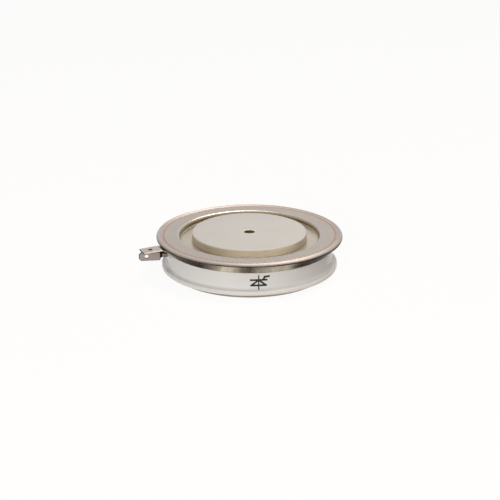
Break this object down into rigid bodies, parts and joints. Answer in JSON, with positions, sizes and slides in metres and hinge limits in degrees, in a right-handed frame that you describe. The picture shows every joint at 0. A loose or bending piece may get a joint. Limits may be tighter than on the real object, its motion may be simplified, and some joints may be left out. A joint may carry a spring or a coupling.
{
  "type": "disc thyristor",
  "caption": "Flat pressure-contact disc thyristor: white ceramic ring with a welded metal rim, copper contact faces above and below, and flat gate and cathode tabs side by side.",
  "frame": {"origin": "on the cell's axis, in the plane of the anode contact face that it rests on", "axes": "+Z along the cell's axis from the anode face to the cathode face; the gate tab points along -X"},
  "size_m": [0.066, 0.06, 0.014],
  "materials": {
    "plated_copper": "nickel plated copper, lapped matt",
    "plated_sheet": "nickel plated pressed sheet, satin",
    "plated_tab": "nickel plated stamped strip, satin",
    "glazed_alumina": "white glazed alumina",
    "molybdenum": "ground molybdenum",
    "silicon": "polished silicon",
    "silicone": "silicone rubber",
    "ptfe": "natural PTFE",
    "spring_steel": "drawn spring wire",
    "plated_wire": "plated copper wire and pin"
  },
  "bodies": {
    "root": {"anode_pole": "plated_copper", "anode_flange": "plated_sheet", "ceramic_ring": "glazed_alumina", "weld_ring": "plated_sheet", "lid_flange": "plated_sheet", "cathode_pole": "plated_copper", "anode_disc": "molybdenum", "silicon_wafer": "silicon", "edge_coating": "silicone", "cathode_disc": "molybdenum", "locating_ring": "ptfe", "gate_guide": "ptfe", "gate_bush": "ptfe", "gate_pin": "plated_wire", "gate_spring": "spring_steel", "gate_lead": "plated_wire", "lead_sleeve": "ptfe", "gate_tube": "plated_tab", "gate_tab": "plated_tab", "cathode_tab": "plated_tab"}
  },
  "joints": []
}
